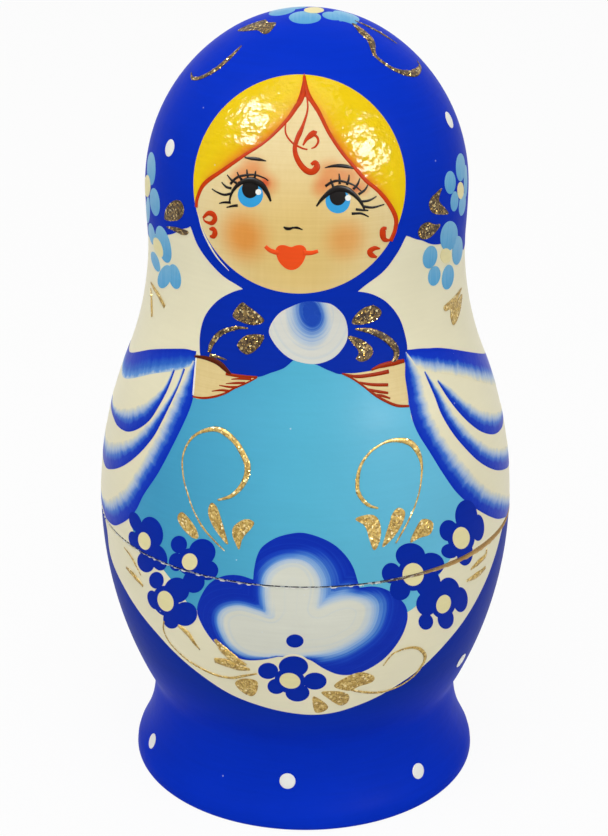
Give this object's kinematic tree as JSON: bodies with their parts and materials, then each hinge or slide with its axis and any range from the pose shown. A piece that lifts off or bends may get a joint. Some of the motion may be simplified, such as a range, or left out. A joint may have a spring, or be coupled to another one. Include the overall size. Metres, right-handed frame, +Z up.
{
  "type": "nesting doll",
  "caption": "Round-shouldered turned wooden doll with a flared foot, painted and lacquered, that parts at the belly on a spigot and holds ever smaller dolls.",
  "frame": {"origin": "centre of the flat base, on the surface that the doll stands on", "axes": "+Z up along the turning axis, -Y towards the painted face, +X to the right seen from the front"},
  "size_m": [0.0848, 0.0848, 0.16],
  "materials": {
    "lower_shell": "turned limewood, painted royal blue with flowers, under clear gloss lacquer",
    "upper_shell": "turned limewood, painted with a blue headscarf, face, cream blouse and sky-blue apron, under clear gloss lacquer",
    "solid_doll": "solid turned limewood, painted like the others, under clear gloss lacquer"
  },
  "bodies": {
    "outer_bottom": {"outer_bottom": "lower_shell"},
    "outer_top": {"outer_top": "upper_shell"},
    "second_bottom": {"second_bottom": "lower_shell"},
    "second_top": {"second_top": "upper_shell"},
    "third_bottom": {"third_bottom": "lower_shell"},
    "third_top": {"third_top": "upper_shell"},
    "fourth_bottom": {"fourth_bottom": "lower_shell"},
    "fourth_top": {"fourth_top": "upper_shell"},
    "fifth_bottom": {"fifth_bottom": "lower_shell"},
    "fifth_top": {"fifth_top": "upper_shell"},
    "sixth_bottom": {"sixth_bottom": "lower_shell"},
    "sixth_top": {"sixth_top": "upper_shell"},
    "smallest_doll": {"smallest_doll": "solid_doll"}
  },
  "joints": [
    {"name": "second_bottom_lift", "type": "slide", "parent": "outer_bottom", "child": "second_bottom", "axis": [0, 0, 1], "range_m": [0, 0.055]},
    {"name": "third_bottom_lift", "type": "slide", "parent": "second_bottom", "child": "third_bottom", "axis": [0, 0, 1], "range_m": [0, 0.046]},
    {"name": "fourth_bottom_lift", "type": "slide", "parent": "third_bottom", "child": "fourth_bottom", "axis": [0, 0, 1], "range_m": [0, 0.037]},
    {"name": "fifth_bottom_lift", "type": "slide", "parent": "fourth_bottom", "child": "fifth_bottom", "axis": [0, 0, 1], "range_m": [0, 0.03]},
    {"name": "sixth_bottom_lift", "type": "slide", "parent": "fifth_bottom", "child": "sixth_bottom", "axis": [0, 0, 1], "range_m": [0, 0.024]},
    {"name": "smallest_doll_lift", "type": "slide", "parent": "sixth_bottom", "child": "smallest_doll", "axis": [0, 0, 1], "range_m": [0, 0.02]},
    {"name": "sixth_top_lift", "type": "slide", "parent": "smallest_doll", "child": "sixth_top", "axis": [0, 0, 1], "range_m": [0, 0.025]},
    {"name": "fifth_top_lift", "type": "slide", "parent": "sixth_top", "child": "fifth_top", "axis": [0, 0, 1], "range_m": [0, 0.034]},
    {"name": "fourth_top_lift", "type": "slide", "parent": "fifth_top", "child": "fourth_top", "axis": [0, 0, 1], "range_m": [0, 0.045]},
    {"name": "third_top_lift", "type": "slide", "parent": "fourth_top", "child": "third_top", "axis": [0, 0, 1], "range_m": [0, 0.059]},
    {"name": "second_top_lift", "type": "slide", "parent": "third_top", "child": "second_top", "axis": [0, 0, 1], "range_m": [0, 0.076]},
    {"name": "outer_top_lift", "type": "slide", "parent": "second_top", "child": "outer_top", "axis": [0, 0, 1], "range_m": [0, 0.096]}
  ]
}
